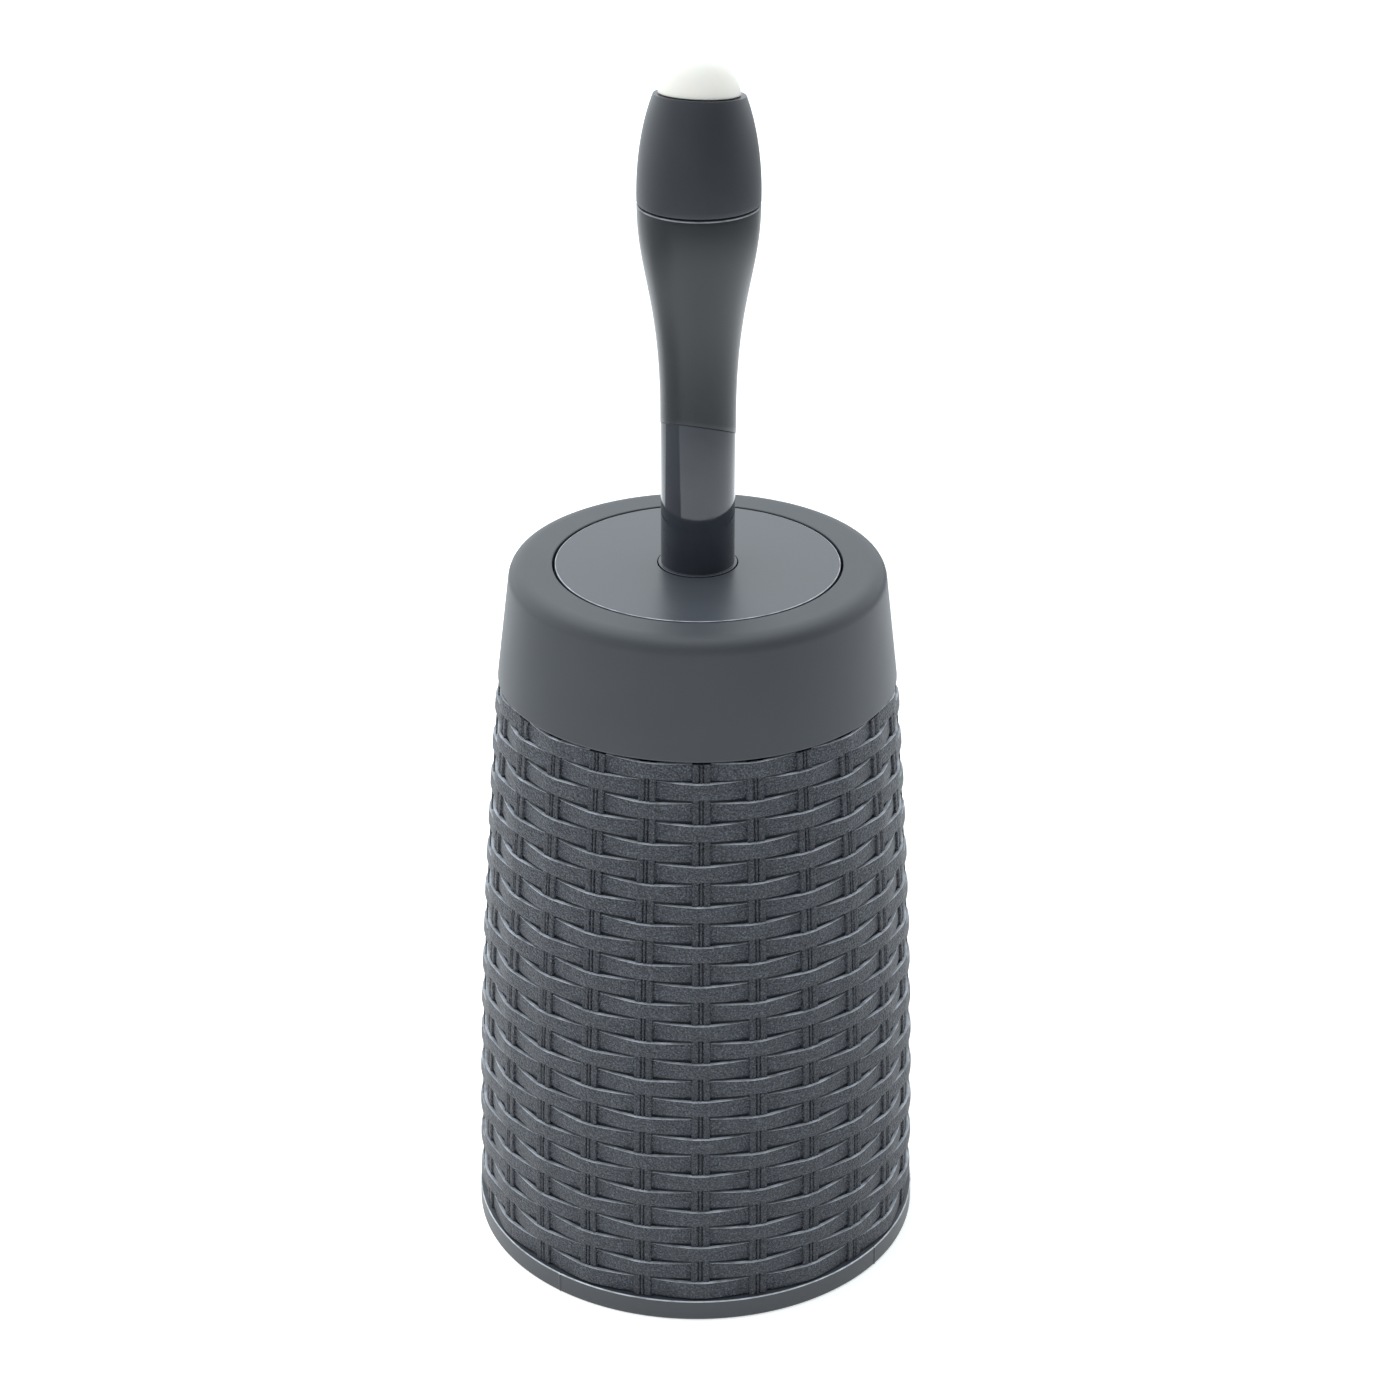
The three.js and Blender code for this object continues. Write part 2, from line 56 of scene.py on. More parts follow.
BASE_RADIUS = 69
BAND_HEIGHT = 6.6
FOOT_WIDTH = 7.5
BOSS_RADIUS = 26
RECESS_DEPTH = 1.2
BASE_SPIGOT_HEIGHT = 7
BASKET_WALL = 3.4
BASKET_FOOT_RADIUS = 68.7
BASKET_TOP = 184.4
BASKET_TOP_RADIUS = 59.4
BASKET_BULGE_RADIUS = 68.5
BASKET_BULGE_HEIGHT = 80
NECK_HEIGHT = 13.5

COLLAR_BOTTOM = 184.8
COLLAR_BOTTOM_RADIUS = 59.1
COLLAR_TOP = 220.4
COLLAR_TOP_RADIUS = 54.8
COLLAR_SHOULDER = 4.5
MOUTH_RADIUS = 42.4
LEDGE_TOP = 215.7
LEDGE_THICKNESS = 2.1
LEDGE_RADIUS = 39.4

RIM_RADIUS = 42.0
RIM_TOP = 217.5
RIM_UNDERSIDE = 216.0
LINER_TOP_RADIUS = 39.0
LINER_BOTTOM = 8.4
LINER_BOTTOM_RADIUS = 37.8

LID_TOP = 220.3
LID_UNDERSIDE = 217.9
LID_SKIRT_RADIUS = 36.6
LID_SKIRT_DEPTH = 6.4
LID_HUB_RADIUS = 17
LID_HUB_BOTTOM = 213.6
LID_BORE = 9.5
LID_ROUNDING = 0.3
LID_EASE = 0.35

FLANGE_RADIUS = 11.5
FLANGE_TOP = 220.6
FLANGE_BOTTOM = 218.2
SHAFT_RADIUS = 10.75
SHAFT_BORE = 7.2
NECK_RADIUS = 9.1
NECK_BOTTOM = 196
FLARE_START = 266
FLARE_PULL = 35.6
SEAM_HEIGHT = 328.6
SEAM_RADIUS = 17.3
SEAM_PULL = 20
GRIP_WALL = 2.25
RIM_ROUNDING = 0.35
GRIP_EDGE = (262, 0.146, 0.416)
GRIP_PROUD = 0.12
FINE_GAP = 0.04
BARREL_EDGE = (358.8, 0.031, 0.103)
BARREL_RADIUS = 17.33
BARREL_WIDEST = 331
BARREL_HALF_HEIGHT = 41.2
BARREL_LAND = 2.6
BARREL_HOLE = 8.9
BARREL_SPIGOT_TOP = 336.1
DOME_RADIUS = 11.6
DOME_CENTRE = 357.2
DOME_PLUG_RADIUS = 8.6
DOME_PLUG_DEPTH = 6.3

NUT_RADIUS = 14.8
NUT_TOP = 213.2
NUT_HEIGHT = 4
NUT_FLUTES = 20
NUT_FLUTE_DEPTH = 0.7
STEM_RADIUS = 7
STEM_SPIGOT_RADIUS = 6.8
STEM_SPIGOT_TOP = 243.7
STEM_TAPER = 16
HEAD_RADIUS = 11
HEAD_TOP = 103.7
HEAD_CENTRE = 41
HEAD_NECK_RADIUS = 8.6
HEAD_NECK_HEIGHT = 4
SOCKET_RADIUS = 5.3
SOCKET_DEPTH = 12
TUFT_ROWS = 5
TUFTS_PER_ROW = 8
TUFT_ROW_PITCH = 13.5
END_TUFTS = 5
END_TUFT_SLOPE = math.radians(50)
TUFT_ROOT = 7.8
SIDE_TUFT_REACH = 33.6
END_TUFT_REACH = 24

# --- The weave ---

STAKES = 24
STAKE_PITCH = TURN / STAKES
FIRST_STAKE = math.radians(1.1)
STRAND_ROWS = 28
FIRST_ROW = -1
ROW_PITCH = 6.36
ROW_ZERO_TOP = 178.35
STRAND_HEIGHT = 5.6
STRAND_PINCH = 0.7
STRAND_DEPTH = 1.4
STRAND_BACK = 2.5
STRAND_STEPS = 10
STRAND_SECTIONS = STAKES * STRAND_STEPS
STRAND_FLAT = 0.1
STRAND_TUCK = 0.8
STAKE_DEPTH = 0.8
STAKE_SWELL = 0.1
STAKE_TOP_WIDTH = 0.95
STAKE_FOOT_WIDTH = 1.03
STAKE_LEVELS_PER_ROW = 3
STRAND_SWELL = 0.06
STRAND_LIFT = 0.07
RELIEF_FLOOR = 2.4
BACKING_DEPTH = 2.0


# --- Meshes ---

SHARP_ANGLE = math.radians(40)
STRAND_SHARP_ANGLE = math.radians(75)
STAKE_SHARP_ANGLE = math.radians(60)
TUFT_SHARP_ANGLE = math.radians(80)
BASE_SIDES = 180
HOLDER_SIDES = 160
COLLAR_SIDES = 200
HANDLE_SIDES = 128
NUT_SIDES = 240
CORE_SIDES = 96
LONG_SPAN = 5
SUPPORT_INSET = 0.3
LONGEST_CUT = 0.48


def mesh_object(name, points, faces, sharp=SHARP_ANGLE):
    mesh = bpy.data.meshes.new(name)
    mesh.from_pydata([tuple(p) for p in np.asarray(points) * MM], [], faces)
    mesh.validate()
    mesh.shade_smooth()
    mesh.set_sharp_from_angle(angle=sharp)
    piece = bpy.data.objects.new(name, mesh)
    bpy.context.scene.collection.objects.link(piece)
    return piece


def outline_area(outline):
    """Twice the signed area of an outline of (radius, height); anticlockwise is positive."""
    r, z = np.array(outline).T
    return float(np.sum(r * np.roll(z, -1) - np.roll(r, -1) * z))


def even_azimuths(sides):
    return [math.pi + TURN * i / sides for i in range(sides)]


def revolved(name, outline, azimuths):
    """A body swept round the Z axis. outline is a closed list of (radius, height), or a function of azimuth
    that gives one with the same number of points each time."""
    section = outline if callable(outline) else lambda azimuth: outline
    sections = [section(a) for a in azimuths]
    if outline_area(sections[0]) < 0:
        sections = [list(reversed(s)) for s in sections]
    count = len(sections[0])
    points = []
    for azimuth, outline_here in zip(azimuths, sections):
        for r, z in outline_here:
            points.append((r * math.sin(azimuth), -r * math.cos(azimuth), z))
    on_axis = [all(s[j][0] < 1e-6 for s in sections) for j in range(count)]

    def corner(i, j):
        j %= count
        return j if on_axis[j] else (i % len(azimuths)) * count + j

    faces = []
    for i in range(len(azimuths)):
        for j in range(count):
            loop = [corner(i, j), corner(i + 1, j), corner(i + 1, j + 1), corner(i, j + 1)]
            loop = [v for n, v in enumerate(loop) if v != loop[n - 1]]
            if len(set(loop)) > 2:
                faces.append(loop)
    return mesh_object(name, *without_loose(points, faces))


def tube_faces(start, rings, count, closed=False):
    """The faces of a tube with count points in each ring. It closes on itself, or has a cap at each end."""
    faces = []
    for ring in range(rings if closed else rings - 1):
        here, ahead = start + ring * count, start + (ring + 1) % rings * count
        for j in range(count):
            k = (j + 1) % count
            faces.append((here + j, here + k, ahead + k, ahead + j))
    if not closed:
        faces.append(tuple(start + j for j in reversed(range(count))))
        faces.append(tuple(start + (rings - 1) * count + j for j in range(count)))
    return faces


def without_loose(points, faces):
    """Drops the points that no face uses."""
    used = sorted({v for face in faces for v in face})
    place = {v: n for n, v in enumerate(used)}
    return [points[v] for v in used], [[place[v] for v in face] for face in faces]


def with_supports(points):
    """Adds a point close to each end of the long straight stretches, so that they shade flat."""
    supported = []
    for i, point in enumerate(points):
        here, ahead = Vector(point), Vector(points[(i + 1) % len(points)])
        supported.append(point)
        if (ahead - here).length > LONG_SPAN:
            step = (ahead - here).normalized() * SUPPORT_INSET
            supported += [tuple(here + step), tuple(ahead - step)]
    return supported


def rounded(corners, steps=5):
    """A closed outline from corners of (radius, height) or (radius, height, rounding)."""
    points = []
    for i, corner in enumerate(corners):
        here = Vector(corner[:2])
        if len(corner) < 3:
            points.append(tuple(here))
            continue
        back = Vector(corners[i - 1][:2]) - here
        ahead = Vector(corners[(i + 1) % len(corners)][:2]) - here
        half = back.angle(ahead) / 2
        cut = min(corner[2] / math.tan(half), LONGEST_CUT * back.length, LONGEST_CUT * ahead.length)
        radius = cut * math.tan(half)
        centre = here + (back.normalized() + ahead.normalized()).normalized() * (radius / math.sin(half))
        start = here + back.normalized() * cut - centre
        sweep = start.angle_signed(here + ahead.normalized() * cut - centre)
        for step in range(steps + 1):
            turn = -sweep * step / steps
            c, s = math.cos(turn), math.sin(turn)
            points.append((centre.x + c * start.x - s * start.y, centre.y + s * start.x + c * start.y))
    return with_supports(points)


def finish_piece(piece, body, slot, material, *nodes):
    piece.data.materials.append(material)
    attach(piece, body)
    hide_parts(*nodes)


# --- Curves of the object ---

def basket_radius(z):
    """The radius at the crests of the strands, on the CAD's curve."""
    a = BASKET_TOP - 2 * BASKET_BULGE_HEIGHT
    b = 2 * BASKET_BULGE_HEIGHT
    t = (np.sqrt(b * b + 4 * a * z) - b) / (2 * a)
    foot = (1 - t) ** 2 * BASKET_FOOT_RADIUS
    return foot + 2 * t * (1 - t) * BASKET_BULGE_RADIUS + t * t * BASKET_TOP_RADIUS


def collar_radius(z):
    share = (z - COLLAR_BOTTOM) / (COLLAR_TOP - COLLAR_BOTTOM)
    return COLLAR_BOTTOM_RADIUS + share * (COLLAR_TOP_RADIUS - COLLAR_BOTTOM_RADIUS)


def flare_curve():
    t = np.linspace(0, 1, 200)
    top = SEAM_HEIGHT - GAP
    pulls_r = (SHAFT_RADIUS, SHAFT_RADIUS, SEAM_RADIUS, SEAM_RADIUS)
    pulls_z = (FLARE_START, FLARE_START + FLARE_PULL, SEAM_HEIGHT - SEAM_PULL, top)
    weights = ((1 - t) ** 3, 3 * t * (1 - t) ** 2, 3 * t * t * (1 - t), t ** 3)
    return sum(w * z for w, z in zip(weights, pulls_z)), sum(w * r for w, r in zip(weights, pulls_r))


FLARE_Z, FLARE_R = flare_curve()


def grip_radius(z):
    return float(np.interp(z, FLARE_Z, FLARE_R))


def barrel_radius(z, inset=0.0):
    share = (z - BARREL_WIDEST) / BARREL_HALF_HEIGHT
    return (BARREL_RADIUS - inset) * math.sqrt(max(0.0, 1 - share * share))


def edge_height(edge, radius, azimuth):
    height, fall_right, fall_back = edge
    return height - fall_right * radius * math.sin(azimuth) + fall_back * radius * math.cos(azimuth)


# --- Materials ---

BLUE_GREY = (0.88, 1.0, 1.3)
SATIN_GREY = (0.90, 1.0, 1.17)
HIGHLIGHT_GREY = (0.95, 1.0, 1.1)


class Nodes:
    """A small builder for one material's node tree."""

    def __init__(self, name):
        self.material = bpy.data.materials.new(name)
        self.material.use_nodes = True
        self.tree = self.material.node_tree
        self.shader = self.tree.nodes["Principled BSDF"]
        self.place = self.tree.nodes.new("ShaderNodeTexCoord").outputs["Object"]
        self.normal = None

    def add(self, kind, **settings):
        node = self.tree.nodes.new(kind)
        for key, value in settings.items():
            setattr(node, key, value)
        return node

    def link(self, source, target):
        self.tree.links.new(source, target)

    def stretched(self, scale):
        mapping = self.add("ShaderNodeMapping")
        self.link(self.place, mapping.inputs["Vector"])
        mapping.inputs["Scale"].default_value = scale if hasattr(scale, "__len__") else (scale,) * 3
        return mapping.outputs["Vector"]

    def noise(self, scale, detail=3.0, roughness=0.5):
        node = self.add("ShaderNodeTexNoise")
        self.link(self.stretched(scale), node.inputs["Vector"])
        node.inputs["Scale"].default_value = 1.0
        node.inputs["Detail"].default_value = detail
        node.inputs["Roughness"].default_value = roughness
        return node.outputs["Fac"]

    def pebbles(self, scale, smoothness):
        node = self.add("ShaderNodeTexVoronoi", feature="SMOOTH_F1")
        self.link(self.stretched(scale), node.inputs["Vector"])
        node.inputs["Scale"].default_value = 1.0
        node.inputs["Smoothness"].default_value = smoothness
        return node.outputs["Distance"]

    def ramp(self, source, low, high, start=0.3, end=0.7):
        node = self.add("ShaderNodeMapRange")
        self.link(source, node.inputs["Value"])
        node.inputs["From Min"].default_value = start
        node.inputs["From Max"].default_value = end
        node.inputs["To Min"].default_value = low
        node.inputs["To Max"].default_value = high
        return node.outputs["Result"]

    def blend(self, share, low, high):
        node = self.add("ShaderNodeMix", data_type="RGBA")
        self.link(share, node.inputs["Factor"])
        for socket, value in (("A", low), ("B", high)):
            target = [s for s in node.inputs if s.name == socket and s.type == "RGBA"][0]
            if isinstance(value, bpy.types.NodeSocket):
                self.link(value, target)
            else:
                target.default_value = (*value, 1.0)
        return [s for s in node.outputs if s.type == "RGBA"][0]

    def bump(self, height, depth_mm):
        node = self.add("ShaderNodeBump")
        self.link(height, node.inputs["Height"])
        node.inputs["Distance"].default_value = depth_mm * MM
        node.inputs["Strength"].default_value = 1.0
        if self.normal is not None:
            self.link(self.normal, node.inputs["Normal"])
        self.normal = node.outputs["Normal"]

    def done(self, color, roughness, **values):
        """Links what varies over the surface and sets the uniform values on the shader itself."""
        self.link(color, self.shader.inputs["Base Color"])
        self.link(roughness, self.shader.inputs["Roughness"])
        if self.normal is not None:
            self.link(self.normal, self.shader.inputs["Normal"])
        for name, value in values.items():
            self.shader.inputs[name.replace("_", " ")].default_value = value
        return self.material


def grey(level, tint=BLUE_GREY):
    return tuple(level * t for t in tint)


def rattan_material(name, along, level=0.0375):
    """Moulded rattan: leathery pebbles, with faint streaks along the strand or the stake."""
    n = Nodes(name)
    streaks = n.noise(along, detail=4.0, roughness=0.6)
    pebbles = n.pebbles(1400.0, 0.2)
    grain = n.noise(1900.0, detail=2.0, roughness=0.6)
    tone = n.blend(n.ramp(streaks, 0.0, 1.0), grey(level * 0.86), grey(level * 1.16))
    tone = n.blend(n.ramp(pebbles, 0.0, 0.85, 0.25, 0.7), tone, grey(level * 0.3))
    tone = n.blend(n.ramp(grain, 0.0, 0.85, 0.5, 0.68), tone, grey(level * 3.0))
    n.bump(pebbles, -0.42)
    n.bump(streaks, 0.10)
    n.bump(grain, 0.30)
    return n.done(tone, n.ramp(streaks, 0.60, 0.44), IOR=1.5)


def painted_highlight_material(name, level):
    """A painted highlight: much paler, smoother plastic along an edge, in uneven patches."""
    n = Nodes(name)
    highlight_patches = n.noise(240.0, detail=3.0)
    tone = n.blend(n.ramp(highlight_patches, 0.0, 1.0), grey(level * 0.6, HIGHLIGHT_GREY), grey(level * 1.5, HIGHLIGHT_GREY))
    n.bump(n.noise(1500.0, detail=2.0), 0.05)
    return n.done(tone, n.ramp(highlight_patches, 0.48, 0.32), IOR=1.5)


def satin_material(name, level, rough, grain_mm=0.012, grain_scale=3000.0):
    """Smooth moulded plastic with a fine even grain and very faint clouding."""
    n = Nodes(name)
    clouds = n.noise(35.0, detail=3.0)
    tone = n.blend(n.ramp(clouds, 0.0, 1.0), grey(level * 0.94, SATIN_GREY), grey(level * 1.06, SATIN_GREY))
    n.bump(n.noise(grain_scale, detail=1.5), grain_mm)
    n.bump(n.noise(90.0, detail=1.0), 0.02)
    return n.done(tone, n.ramp(clouds, rough[0], rough[1]), IOR=1.5)


def gloss_material():
    n = Nodes("gloss_black")
    ripple = n.noise(110.0, detail=1.0)
    n.bump(ripple, 0.012)
    tone = n.blend(n.ramp(ripple, 0.0, 1.0), grey(0.028), grey(0.033))
    return n.done(tone, n.ramp(n.noise(400.0, detail=3.0), 0.035, 0.07), IOR=1.52)


def soft_touch_material(name, level, rough, sheen, sheen_roughness):
    """Matt rubbery coating with a soft glow along its outlines."""
    n = Nodes(name)
    clouds = n.noise(45.0, detail=3.0)
    tone = n.blend(n.ramp(clouds, 0.0, 1.0), grey(level * 0.92), grey(level * 1.08))
    n.bump(n.noise(4200.0, detail=2.0), 0.012)
    roughness = n.ramp(clouds, rough[0], rough[1])
    return n.done(tone, roughness, IOR=1.5, Sheen_Weight=sheen, Sheen_Roughness=sheen_roughness)


def dome_material():
    n = Nodes("white_dome")
    clouds = n.noise(120.0, detail=2.0)
    tone = n.blend(n.ramp(clouds, 0.0, 1.0), (0.73, 0.70, 0.64), (0.76, 0.73, 0.67))
    n.bump(n.noise(2600.0, detail=1.0), 0.006)
    return n.done(tone, n.ramp(clouds, 0.42, 0.48), IOR=1.46, Subsurface_Weight=0.15, Subsurface_Scale=0.004)


def bristle_material():
    n = Nodes("nylon_bristle")
    clouds = n.noise(300.0, detail=2.0)
    tone = n.blend(n.ramp(clouds, 0.0, 1.0), (0.72, 0.73, 0.71), (0.82, 0.83, 0.81))
    return n.done(tone, n.ramp(clouds, 0.35, 0.5), IOR=1.53, Subsurface_Weight=0.2, Subsurface_Scale=0.002)


STRAND_MATERIAL = rattan_material("rattan_strand", (170.0, 170.0, 1500.0))
STAKE_MATERIAL = rattan_material("rattan_stake", (1900.0, 1900.0, 150.0), 0.0315)
# Painted highlights: much paler, smoother materials laid along the top edges of the strands, the band, the
# lid's rim and the grip's rim.
STRAND_HIGHLIGHT_MATERIAL = painted_highlight_material("rattan_painted_highlight", 0.31)
BAND_HIGHLIGHT_MATERIAL = painted_highlight_material("band_painted_highlight", 0.45)
LID_HIGHLIGHT_MATERIAL = painted_highlight_material("lid_painted_highlight", 0.34)
GRIP_HIGHLIGHT_MATERIAL = painted_highlight_material("grip_rim_painted_highlight", 0.20)
BACKING_MATERIAL = satin_material("rattan_backing", 0.030, (0.6, 0.7))
COLLAR_MATERIAL = satin_material("satin_collar", 0.041, (0.44, 0.50))
BASE_MATERIAL = satin_material("satin_base", 0.047, (0.40, 0.46))
LID_MATERIAL = satin_material("lid_texture", 0.055, (0.32, 0.36), grain_mm=0.02, grain_scale=2200.0)
LINER_MATERIAL = satin_material("satin_liner", 0.075, (0.35, 0.42))
GLOSS_MATERIAL = gloss_material()
# The grip and the barrel are one soft-touch plastic in two copies: the grip's darker base colour is painted
# shade that offsets the extra light of its stronger sheen.
GRIP_MATERIAL = soft_touch_material("soft_grip", 0.0125, (0.32, 0.37), 0.65, 0.28)
BARREL_MATERIAL = soft_touch_material("soft_barrel", 0.0230, (0.38, 0.43), 0.12, 0.4)
DOME_MATERIAL = dome_material()
BRISTLE_MATERIAL = bristle_material()


# --- The woven basket ---

class Wander:
    """A smooth seeded wobble round the axis, between about -1 and 1."""

    def __init__(self, rng, counts):
        self.waves = [(count, rng.uniform(0, TURN), rng.uniform(0.5, 1.0)) for count in counts]
        self.total = sum(w[2] for w in self.waves)

    def at(self, azimuth):
        return sum(size * math.sin(count * azimuth + phase) for count, phase, size in self.waves) / self.total


def paint_highlight_edge(piece, is_highlighted, material):
    """Paints a highlight on the top edges of a piece: gives them their own paler and smoother material."""
    piece.data.materials.append(material)
    for face in piece.data.polygons:
        if is_highlighted(face):
            face.material_index = 1


def paint_highlight_rim(piece, height, radius, material):
    """Paints a highlight on the faces above a height and outside a radius, round a rim."""
    def is_highlighted_rim(face):
        return face.center.z > height * MM and face.center.xy.length > radius * MM
    paint_highlight_edge(piece, is_highlighted_rim, material)


# Across a strand's front, from its top edge down: (share of its height, depth behind the crest).
STRAND_SECTION = (
    (0.0, 1.0), (0.0, 0.26), (0.01, 0.1), (0.03, 0.03), (0.08, 0.0), (0.35, -0.03),
    (0.65, -0.03), (0.9, 0.01), (0.965, 0.07), (0.995, 0.24), (1.0, 0.45), (1.0, 1.0),
)

# How many faces down from a strand's top edge carry the painted highlight.
STRAND_HIGHLIGHT_FACES = 3

# Across a stake of two canes with a thin rib between them: (offset from its middle, depth behind its crest).
STAKE_SECTION = (
    (-2.72, 1.4), (-2.66, 0.5), (-2.5, 0.14), (-2.25, 0.02), (-1.8, 0.0), (-1.6, 0.07), (-1.4, 0.01),
    (-0.9, 0.03), (-0.66, 0.14), (-0.56, 0.62), (-0.34, 0.62), (-0.24, 0.06), (0.06, -0.08), (0.36, 0.06),
    (0.46, 0.62), (0.68, 0.62), (0.78, 0.14), (1.05, 0.02), (1.5, 0.01), (1.7, 0.07), (1.9, 0.0),
    (2.4, 0.04), (2.64, 0.16), (2.8, 0.5), (2.86, 1.4),
)


def strand_top(row):
    return ROW_ZERO_TOP - ROW_PITCH * row


def strand_depth(place):
    """How deep a strand lies, with place counted in stakes: 0 over a stake, 1 behind the next one."""
    away = abs((place + 1) % 2 - 1)
    return STRAND_DEPTH * min(1.0, max(0.0, (away - STRAND_FLAT) / (STRAND_TUCK - STRAND_FLAT)))


def strand_row(rng, index):
    """The points of one row of strands, section by section round the basket."""
    row = FIRST_ROW + index
    top = min(strand_top(row), BASKET_TOP - GAP)
    lowest = index == STRAND_ROWS - 1
    height = top - BAND_HEIGHT - GAP if lowest else STRAND_HEIGHT
    pinch = STRAND_PINCH / 2 if lowest else STRAND_PINCH
    rise, swell = Wander(rng, (3, 7, 13)), Wander(rng, (5, 11, 17))
    points = []
    for step in range(STRAND_SECTIONS):
        azimuth = FIRST_STAKE + math.pi + TURN * step / STRAND_SECTIONS
        depth = strand_depth((azimuth - FIRST_STAKE) / STAKE_PITCH + row)
        over = 1 - depth / STRAND_DEPTH
        tall = height - pinch * over
        crest = depth + STRAND_SWELL * (1 + swell.at(azimuth))
        lift = STRAND_LIFT * rise.at(azimuth) if 0 < index < STRAND_ROWS - 1 else 0.0
        front = [(share, min(crest + behind, RELIEF_FLOOR)) for share, behind in STRAND_SECTION]
        for share, inset in (*front, (1.0, STRAND_BACK), (0.0, STRAND_BACK)):
            z = top + lift - tall * share
            r = basket_radius(z) - inset
            points.append((r * math.sin(azimuth), -r * math.cos(azimuth), z))
    return points


def rattan_strands():
    """The rows of strands. A row passes over a stake where the sum of their numbers is even."""
    rng = random.Random(11)
    count = len(STRAND_SECTION) + 2
    points, faces = [], []
    for index in range(STRAND_ROWS):
        faces += tube_faces(len(points), STRAND_SECTIONS, count, closed=True)
        points += strand_row(rng, index)
    piece = mesh_object("rattan_strands", points, faces, STRAND_SHARP_ANGLE)
    finish_piece(piece, "holder", "rattan_effect_plastic", STRAND_MATERIAL, "basket_shell")
    # The strands' top edges get a painted highlight.
    paint_highlight_edge(piece, lambda face: face.index % count < STRAND_HIGHLIGHT_FACES, STRAND_HIGHLIGHT_MATERIAL)


def stake_points(stake, levels):
    """The points of one upright pair of canes, level by level."""
    azimuth = FIRST_STAKE + stake * STAKE_PITCH
    outward = np.array((math.sin(azimuth), -math.cos(azimuth)))
    across = np.array((math.cos(azimuth), math.sin(azimuth)))
    middle = strand_top(stake % 2) - STRAND_HEIGHT / 2
    points = []
    for z in levels:
        swell = STAKE_SWELL * math.cos(math.pi * (z - middle) / ROW_PITCH)
        taper = (basket_radius(z) - BASKET_TOP_RADIUS) / (BASKET_FOOT_RADIUS - BASKET_TOP_RADIUS)
        width = STAKE_TOP_WIDTH + (STAKE_FOOT_WIDTH - STAKE_TOP_WIDTH) * taper
        front = [(x, min(STAKE_DEPTH + swell + behind, RELIEF_FLOOR)) for x, behind in STAKE_SECTION]
        back = [(x, STRAND_BACK) for x in (STAKE_SECTION[-1][0], STAKE_SECTION[0][0])]
        for x, inset in front + back:
            points.append((*(outward * (basket_radius(z) - inset) + across * x * width), z))
    return points


def rattan_stakes():
    """Upright pairs of canes, seen in the windows between the strands."""
    levels = np.linspace(BAND_HEIGHT + GAP, BASKET_TOP - GAP, STAKE_LEVELS_PER_ROW * STRAND_ROWS + 1)
    points, faces = [], []
    for stake in range(STAKES):
        faces += tube_faces(len(points), len(levels), len(STAKE_SECTION) + 2)
        points += stake_points(stake, levels)
    piece = mesh_object("rattan_stakes", points, faces, STAKE_SHARP_ANGLE)
    finish_piece(piece, "holder", "rattan_effect_plastic", STAKE_MATERIAL, "basket_shell")


def basket_backing():
    """The smooth inside of the basket and the neck inside the collar."""
    bottom, neck_top = BAND_HEIGHT + GAP, BASKET_TOP + NECK_HEIGHT
    heights = np.linspace(bottom, BASKET_TOP - 0.2, 24)
    outer = [(basket_radius(z) - BACKING_DEPTH, z) for z in heights]
    inner = [(basket_radius(z) - BASKET_WALL, z) for z in reversed(heights[:-1])]
    neck = collar_radius(neck_top) - WALL - GAP
    shoulder = collar_radius(COLLAR_BOTTOM) - WALL - GAP
    neck_outline = rounded([(shoulder, BASKET_TOP), (neck, neck_top, 0.5), (neck - WALL, neck_top, 0.5)])
    outline = outer + neck_outline + inner
    piece = revolved("basket_backing", outline, even_azimuths(HOLDER_SIDES))
    finish_piece(piece, "holder", "rattan_effect_plastic", BACKING_MATERIAL, "basket_shell")


# --- The rest of the holder ---

PARTING_LINES = (math.radians(-37), math.radians(53.5))
PARTING_WIDTH = 0.0045
PARTING_CLEAR = 0.02
PARTING_STEPS = (-3, -1, -0.5, 0, 0.5, 1, 3)
PARTING_RIDGE = 0.26
BAND_ROUNDING = 0.3
# How far in from the band's outside the painted highlight on its top edge reaches.
BAND_HIGHLIGHT_RIM = 1.0


def base_azimuths():
    """Even steps, with close ones at the mould's parting lines."""
    steps = [(a + math.pi) % TURN - math.pi for a in even_azimuths(BASE_SIDES)]
    steps = [a for a in steps if all(abs(a - line) > PARTING_CLEAR for line in PARTING_LINES)]
    for line in PARTING_LINES:
        steps += [line + share * PARTING_WIDTH for share in PARTING_STEPS]
    return sorted(steps)


def base_outline(azimuth):
    near = min(abs(azimuth - line) for line in PARTING_LINES)
    side = BASE_RADIUS + PARTING_RIDGE * max(0.0, 1 - near / PARTING_WIDTH)
    foot_inner = BASE_RADIUS - FOOT_WIDTH
    spigot = BASKET_FOOT_RADIUS - BASKET_WALL - GAP
    spigot_top = BAND_HEIGHT + BASE_SPIGOT_HEIGHT
    floor_top = RECESS_DEPTH + WALL
    return rounded([
        (0, 0), (BOSS_RADIUS, 0, 0.3), (BOSS_RADIUS, RECESS_DEPTH, 0.3), (foot_inner, RECESS_DEPTH, 0.3),
        (foot_inner, 0, 0.3), (side, 0, 0.3), (side, BAND_HEIGHT, BAND_ROUNDING), (spigot, BAND_HEIGHT, 0.3),
        (spigot, spigot_top, 0.4), (spigot - WALL, spigot_top, 0.4), (spigot - WALL, floor_top, 0.8),
        (0, floor_top),
    ], 3)


def base_plate():
    piece = revolved("base", base_outline, base_azimuths())
    finish_piece(piece, "holder", "smooth_grey_plastic", BASE_MATERIAL, "base_plate")
    # A painted highlight along the band's top outer edge.
    paint_highlight_rim(piece, BAND_HEIGHT - BAND_ROUNDING, BASE_RADIUS - BAND_HIGHLIGHT_RIM, BAND_HIGHLIGHT_MATERIAL)


